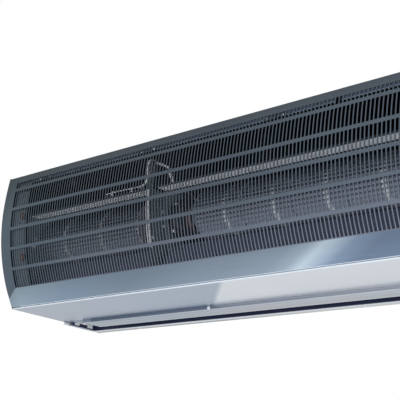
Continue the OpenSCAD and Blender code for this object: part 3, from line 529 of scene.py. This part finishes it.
OWN_FINISH = {
    "back_plate": BACK_SHEET, "fan_deck_left": DECK, "fan_deck_right": DECK,
    "tongue_left": TONGUE, "tongue_right": TONGUE,
    "nozzle_frame": nozzle_steel(), "deflector_vane": VANE_SHEET,
    "cheek_plates": GREY_PLATE, "bearing_plates": GREY_PLATE, "inlet_rails": rail_sheet(),
    "top_plate": top_sheet(), "bearing_rubbers": DARK_RUBBER, "motor_grommets": DARK_RUBBER,
    "inner_cable": SLEEVED, "suspension_bushes": DULL_ZINC,
}


def dress_nodes():
    for part in frame["record"]["subparts"]:
        name = part["node"]
        mesh = nodes[name].data
        mesh.materials.clear()
        mesh.materials.append(OWN_FINISH.get(name, FINISHES[part["material_slot"]]))


# ---------------------------------------------------------------- shapes
# From here on, sizes and places are in millimetres, with heights above the underside.

TO_ROOM = (0, -1, 0)
DOWN = (0, 0, -1)
SHARP_ANGLE = math.radians(35)  # edges of the added pieces look sharp from here on


def to_row(point):
    """Millimetres above the underside to metres in the row's frame."""
    x, y, z = point
    return Vector((x / 1000, y / 1000, z / 1000 - RAIL))


def add_piece(name, mesh_data, body, material):
    """Makes a smooth object from bmesh data, dresses it and lets it ride a body."""
    bmesh.ops.recalc_face_normals(mesh_data, faces=mesh_data.faces)
    mesh = bpy.data.meshes.new(name)
    mesh_data.to_mesh(mesh)
    mesh_data.free()
    for face in mesh.polygons:
        face.use_smooth = True
    mesh.materials.append(material)
    piece = bpy.data.objects.new(name, mesh)
    bpy.context.scene.collection.objects.link(piece)
    mesh.set_sharp_from_angle(angle=SHARP_ANGLE)
    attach(piece, body)
    return piece


def loft(data, rings):
    """Joins rings of points with faces and closes both ends."""
    rows = [[data.verts.new(to_row(p)) for p in ring] for ring in rings]
    count = len(rows[0])
    for low, high in zip(rows, rows[1:]):
        for k in range(count):
            data.faces.new((low[k], low[(k + 1) % count], high[(k + 1) % count], high[k]))
    data.faces.new(rows[0][::-1])
    data.faces.new(rows[-1])


def prism_x(data, profile, places):
    """Profile of (y, z) points drawn out along x through several places."""
    loft(data, [[(x, y, z) for y, z in profile] for x in places])


def stations(x0, x1, step=60):
    """Evenly spaced places from x0 to x1, about a step apart."""
    count = max(1, round(abs(x1 - x0) / step))
    return [x0 + (x1 - x0) * i / count for i in range(count + 1)]


def circle(cy, cz, radius):
    sides = 32
    return [(cy + radius * math.cos(2 * math.pi * k / sides),
             cz + radius * math.sin(2 * math.pi * k / sides)) for k in range(sides)]


def smooth_path(points):
    """Catmull-Rom curve through the points."""
    steps = 6
    path = []
    for i in range(len(points) - 1):
        a, b, c, d = (Vector(points[max(0, min(len(points) - 1, i + k))])
                      for k in (-1, 0, 1, 2))
        for k in range(steps):
            t = k / steps
            path.append(0.5 * (2 * b + (c - a) * t + (2 * a - 5 * b + 4 * c - d) * t * t
                               + (3 * b - a - 3 * c + d) * t ** 3))
    path.append(Vector(points[-1]))
    return path


def ring_around(centre, side, other, radius, sides):
    """Points on a circle in the plane of two directions at right angles."""
    return [centre + radius * (math.cos(2 * math.pi * k / sides) * side
                               + math.sin(2 * math.pi * k / sides) * other)
            for k in range(sides)]


def swept(data, path, radius, sides=12):
    """Round wire along a path, with its cross-section carried along without twist."""
    rings = []
    side = None
    for i, point in enumerate(path):
        ahead = (path[min(i + 1, len(path) - 1)] - path[max(i - 1, 0)]).normalized()
        if side is None:
            side = ahead.orthogonal().normalized()
        side = (side - ahead * side.dot(ahead)).normalized()
        rings.append(ring_around(point, side, ahead.cross(side), radius, sides))
    loft(data, rings)


def dome(data, place, axis, radius, height, hollow=0.0):
    """Low round head that stands off a face along an axis, with a small hollow in its middle.

    The hollow is given as a share of the head's height.
    """
    ahead = Vector(axis).normalized()
    side = ahead.orthogonal().normalized()
    other = ahead.cross(side)
    profile = [(1.0, 0.0), (1.0, 0.3), (0.92, 0.62), (0.74, 0.86), (0.45, 1.0), (0.34, 1.0),
               (0.28, 1.0 - hollow)]
    loft(data, [ring_around(Vector(place) + ahead * (height * rise), side, other,
                            radius * share, 20) for share, rise in profile])


def rounded_box(data, low, high, edge):
    """Box with all its edges rounded."""
    start = set(data.verts)
    bmesh.ops.create_cube(data, size=1.0)
    verts = [v for v in data.verts if v not in start]
    for v in verts:
        v.co = to_row([low[i] if v.co[i] < 0 else high[i] for i in range(3)])
    edges = list({e for v in verts for e in v.link_edges})
    bmesh.ops.bevel(data, geom=edges, offset=edge / 1000, segments=3, affect="EDGES",
                    profile=0.5)


# ---------------------------------------------------------------- outlet

VANE_Y, VANE_Z = -82.5, 4.5  # axis of the vane's tube
TUBE_R = 4.5
BLADE_END = 668
TUBE_END = 714
BRACKET_GAP = (-188, -172)  # the middle bracket stands between these
WEB_END = BLADE_END - 4
WEB_HALF = 1.4  # half the thickness of the web between blade and tube
WEB_FOOT, WEB_TOP = -6, 2.0
# Blade in section: its outer skin from the rear edge round the rolled nose, and its inner
# skin from the nose back to the hemmed rear edge.
BLADE_OUTSIDE = [(-64.5, -6.9), (-101.0, -6.9), (-104.0, -6.2), (-106.2, -4.4),
                 (-107.4, -1.8), (-107.5, 0.6), (-106.6, 2.2)]
BLADE_INSIDE = [(-105.4, 1.6), (-106.1, 0.3), (-106.0, -1.4), (-105.0, -3.5), (-103.2, -4.9),
                (-100.8, -5.5), (-67.0, -5.5), (-66.2, -4.6), (-65.0, -4.7), (-64.1, -5.4)]
PLUG_STEPS = ((5.6, -4, 1.5), (4.0, 1.5, 3))  # radius, and from where to where past the tube


def make_vane():
    """Vane with a rolled nose and hemmed rear edge, a pivot tube with end plugs and a web."""
    data = bmesh.new()
    prism_x(data, BLADE_OUTSIDE + BLADE_INSIDE, stations(-BLADE_END, BLADE_END, 40))
    for x0, x1 in ((-TUBE_END, BRACKET_GAP[0]), (BRACKET_GAP[1], TUBE_END)):
        prism_x(data, circle(VANE_Y, VANE_Z, TUBE_R), stations(x0, x1))
    front, back = VANE_Y - WEB_HALF, VANE_Y + WEB_HALF
    web = [(front, WEB_FOOT), (back, WEB_FOOT), (back, WEB_TOP), (front, WEB_TOP)]
    for x0, x1 in ((-WEB_END, BRACKET_GAP[0]), (BRACKET_GAP[1], WEB_END)):
        prism_x(data, web, stations(x0, x1))
    piece = add_piece("vane_blade", data, "vane", VANE_SHEET)
    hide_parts("deflector_vane")
    plugs = bmesh.new()
    for sign in (-1, 1):
        for radius, start, end in PLUG_STEPS:
            prism_x(plugs, circle(VANE_Y, VANE_Z, radius),
                    [sign * (TUBE_END + start), sign * (TUBE_END + end)])
    add_piece("vane_plugs", plugs, "vane", FINISHES["white_plastic"])


TABS = ((671, -121.0, -108.0), (726, -108.2, -97.0))  # inner end along x, front and back
TAB_END = 747
TAB_UNDER, TAB_TOP = -0.9, -0.1
TAB_ROUND = 0.25
FRONT_SCREW = (-189, -121.4, -3.6)  # dome screw in the collar's front
FRONT_HEAD = (4.4, 2.6)  # radius and height, as for the other heads
REAR_SCREWS = (-560, 190, 560)  # screws under the collar's rear flange, along x
REAR_SCREW_Y, REAR_SCREW_Z = -16.0, -6.9
REAR_HEAD = (3.2, 1.4)


def make_collar_trim():
    """Closing tabs at the collar's two ends, and the collar's screws."""
    tabs = bmesh.new()
    for sign in (-1, 1):
        for start, front, back in TABS:
            x0, x1 = sorted((sign * start, sign * TAB_END))
            rounded_box(tabs, (x0, front, TAB_UNDER), (x1, back, TAB_TOP), TAB_ROUND)
    add_piece("collar_tabs", tabs, "casing", FINISHES["pan_steel"])
    screws = bmesh.new()
    dome(screws, FRONT_SCREW, TO_ROOM, *FRONT_HEAD, hollow=0.5)
    for x in REAR_SCREWS:
        dome(screws, (x, REAR_SCREW_Y, REAR_SCREW_Z), DOWN, *REAR_HEAD, hollow=0.5)
    add_piece("collar_screws", screws, "casing", FINISHES["white_metal"])


# ---------------------------------------------------------------- inside and door seat

RAIL_UNDERSIDE = 229.2
RAIL_MIDDLE = -314
RIVET_ROWS = ((-655, -218, 7), (-160, 640, 12))  # first and last rivet along x, and how many
RIVET_HEAD = (3.0, 1.3)


def make_rail_rivets():
    """Domed rivets that hold the bright rails to the ceiling sheets."""
    data = bmesh.new()
    for x0, x1, count in RIVET_ROWS:
        for k in range(count):
            x = x0 + (x1 - x0) * k / (count - 1)
            dome(data, (x, RAIL_MIDDLE, RAIL_UNDERSIDE), DOWN, *RIVET_HEAD, hollow=0.4)
    add_piece("rail_rivets", data, "casing", FINISHES["screw_zinc"])


WIRE_R = 1.6
RUN_Y, RUN_Z = -303.5, 254  # the wire's run along the ceiling's front
WIRE_PATH = [(-420, -99, 284), (-420, -112, 284), (-421, -150, 278), (-421, -220, 264),
             (-417, -276, 256), (-404, -299, 254), (-373, RUN_Y, RUN_Z),
             (-335, RUN_Y, RUN_Z + 0.5), (-297, RUN_Y, RUN_Z - 0.4), (-268, RUN_Y, RUN_Z),
             (-251, RUN_Y, 257), (-246, RUN_Y, 271), (-248.4, RUN_Y, 291), (-250, RUN_Y, 304),
             (-245, RUN_Y, 309), (-234, RUN_Y, 306.3), (-211, RUN_Y, 300), (-189, RUN_Y, 291),
             (-174, RUN_Y, 285), (-168, -303, 275), (-164.7, -301, 260), (-161, -290, 246),
             (-155, -272, 238), (-150.5, -265, 231), (-149, -263, 222), (-148.5, -262, 214)]
WIRE_HOLE = (-420, -97.6, 284)  # where it comes out of the wall behind the ceiling
WIRE_CLIPS = (-373, -297)
# Half width and depth, lower and upper end, and rounding of a clip's foot and of its stem.
CLIP_BOXES = ((4, 5.5, 231.8, 234.2, 0.8), (1.5, 2.5, 233.5, 252.6, 0.6))
CLIP_R, CLIP_WIRE_R = 2.6, 0.8  # of the open ring that holds the wire, and of its own wire
GROMMET = (6.0, 5.0)  # radius and height


def make_second_wire():
    """Thin white wire that runs along the ceiling's front and over to the motor."""
    data = bmesh.new()
    swept(data, smooth_path(WIRE_PATH), WIRE_R)
    add_piece("second_wire", data, "casing", SLEEVED)
    clips = bmesh.new()
    for x in WIRE_CLIPS:
        for wide, deep, low, high, edge in CLIP_BOXES:
            rounded_box(clips, (x - wide, RUN_Y - deep, low), (x + wide, RUN_Y + deep, high),
                        edge)
        ring = [Vector((x, RUN_Y + CLIP_R * math.cos(a), RUN_Z + 0.1 + CLIP_R * math.sin(a)))
                for a in (math.radians(-140 + 20 * k) for k in range(15))]
        swept(clips, ring, CLIP_WIRE_R, sides=8)
    add_piece("wire_clips", clips, "casing", FINISHES["white_plastic"])
    grommet = bmesh.new()
    dome(grommet, WIRE_HOLE, TO_ROOM, *GROMMET)
    add_piece("wire_grommet", grommet, "casing", FINISHES["black_plastic"])


HINGES = (-600, -200, 200, 600)
LEAF_SCREWS = (-22, 22)  # to either side of a hinge's middle
LEAF_FACE, LEAF_SCREW_Z = -348.3, 317.0
LEAF_HEAD = (2.8, 1.3)


def make_hinge_screws():
    """Pan-head screws in the hinge leaves."""
    data = bmesh.new()
    for hinge in HINGES:
        for off in LEAF_SCREWS:
            dome(data, (hinge + off, LEAF_FACE, LEAF_SCREW_Z), TO_ROOM, *LEAF_HEAD, hollow=0.5)
    add_piece("hinge_screws", data, "casing", FINISHES["screw_zinc"])


PAN_FRONT = -287.5  # foot of the pan's upstand, which leans out with the door's band
UPSTAND_FOOT = 1  # height of that foot
LEAN = 25.5 / 45  # how far the upstand leans per millimetre of height
FOAM_END = 735
# Foam in section: height, and how far it stands off the upstand there.
FOAM_SECTION = [(10, -0.2), (10, 1.8), (11, 2.4), (15, 2.6), (19, 2.4), (20, 1.8), (20, -0.2)]


def make_door_foam():
    """Strip of foam tape on the pan's upstand that keeps the door from rattling."""
    profile = [(PAN_FRONT - LEAN * (z - UPSTAND_FOOT) - off, z) for z, off in FOAM_SECTION]
    data = bmesh.new()
    prism_x(data, profile, stations(-FOAM_END, FOAM_END, 30))
    add_piece("door_foam", data, "casing", FOAM)


# ------------------------------------------------------- floor, light and air, in metres

FLOOR_DEPTH = 5.5  # how far the floor lies below the underside
FLOOR_HALF = 60.0
FLOOR_GREY = (0.80, 0.80, 0.80)
ROOM_GREY = (0.60, 0.62, 0.65)
UNIT_MIDDLE = (0, -0.2, 0)  # the lamps face this point


def ray_kinds(tree, rays):
    """1 for rays of any of the named kinds."""
    path = tree.nodes.new("ShaderNodeLightPath")
    seen = path.outputs[rays[0]]
    for ray in rays[1:]:
        add = tree.nodes.new("ShaderNodeMath")
        add.operation = "MAXIMUM"
        tree.links.new(seen, add.inputs[0])
        tree.links.new(path.outputs[ray], add.inputs[1])
        seen = add.outputs["Value"]
    return seen


def floor_paint():
    """Pale floor that keeps the shadow and is plain white in reflections."""
    material = plain("floor_paint", FLOOR_GREY, rough=0.7, scale=30.0, spread=0.01, lift=0.02)
    tree = material.node_tree
    white = tree.nodes.new("ShaderNodeEmission")
    white.inputs["Color"].default_value = (*WHITE, 1)
    mix = tree.nodes.new("ShaderNodeMixShader")
    tree.links.new(ray_kinds(tree, ("Is Glossy Ray", "Is Transmission Ray")), mix.inputs["Fac"])
    tree.links.new(tree.nodes["Principled BSDF"].outputs["BSDF"], mix.inputs[1])
    tree.links.new(white.outputs["Emission"], mix.inputs[2])
    tree.links.new(mix.outputs["Shader"], tree.nodes["Material Output"].inputs["Surface"])
    return material


def make_floor():
    mesh = bpy.data.meshes.new("floor")
    mesh.from_pydata([(-FLOOR_HALF, -FLOOR_HALF, 0), (FLOOR_HALF, -FLOOR_HALF, 0),
                      (FLOOR_HALF, FLOOR_HALF, 0), (-FLOOR_HALF, FLOOR_HALF, 0)],
                     [], [(0, 1, 2, 3)])
    floor = bpy.data.objects.new("floor", mesh)
    floor.location = (0, 0, -RAIL - FLOOR_DEPTH)
    bpy.context.scene.collection.objects.link(floor)
    mesh.materials.append(floor_paint())


def make_lamp(name, place, side, energy):
    """Square area lamp that faces the middle of the unit."""
    data = bpy.data.lights.new(name, "AREA")
    data.shape = "RECTANGLE"
    data.size = data.size_y = side
    data.energy = energy
    lamp = bpy.data.objects.new(name, data)
    lamp.location = place
    direction = Vector(UNIT_MIDDLE) - Vector(place)
    lamp.rotation_euler = direction.to_track_quat("-Z", "Y").to_euler()
    bpy.context.scene.collection.objects.link(lamp)


def make_world():
    """White to the camera and in reflections; a soft grey room for diffuse light."""
    world = bpy.data.worlds.new("world")
    bpy.context.scene.world = world
    world.use_nodes = True
    tree = world.node_tree
    tree.nodes.clear()
    out = tree.nodes.new("ShaderNodeOutputWorld")
    room = tree.nodes.new("ShaderNodeBackground")
    room.inputs["Color"].default_value = (*ROOM_GREY, 1)
    white = tree.nodes.new("ShaderNodeBackground")
    white.inputs["Color"].default_value = (*WHITE, 1)
    mix = tree.nodes.new("ShaderNodeMixShader")
    seen = ray_kinds(tree, ("Is Camera Ray", "Is Glossy Ray", "Is Transmission Ray"))
    tree.links.new(seen, mix.inputs["Fac"])
    tree.links.new(room.outputs["Background"], mix.inputs[1])
    tree.links.new(white.outputs["Background"], mix.inputs[2])
    tree.links.new(mix.outputs["Shader"], out.inputs["Surface"])


make_camera()
bpy.context.scene.view_settings.view_transform = "Standard"
dress_nodes()
make_vane()
make_door_foam()
make_collar_trim()
make_rail_rivets()
make_second_wire()
make_hinge_screws()
make_floor()
make_world()
make_lamp("key", place=(1.5, -2.3, -1.0), side=3.6, energy=72)
make_lamp("sky", place=(0.4, -2.4, 2.6), side=2.4, energy=5)
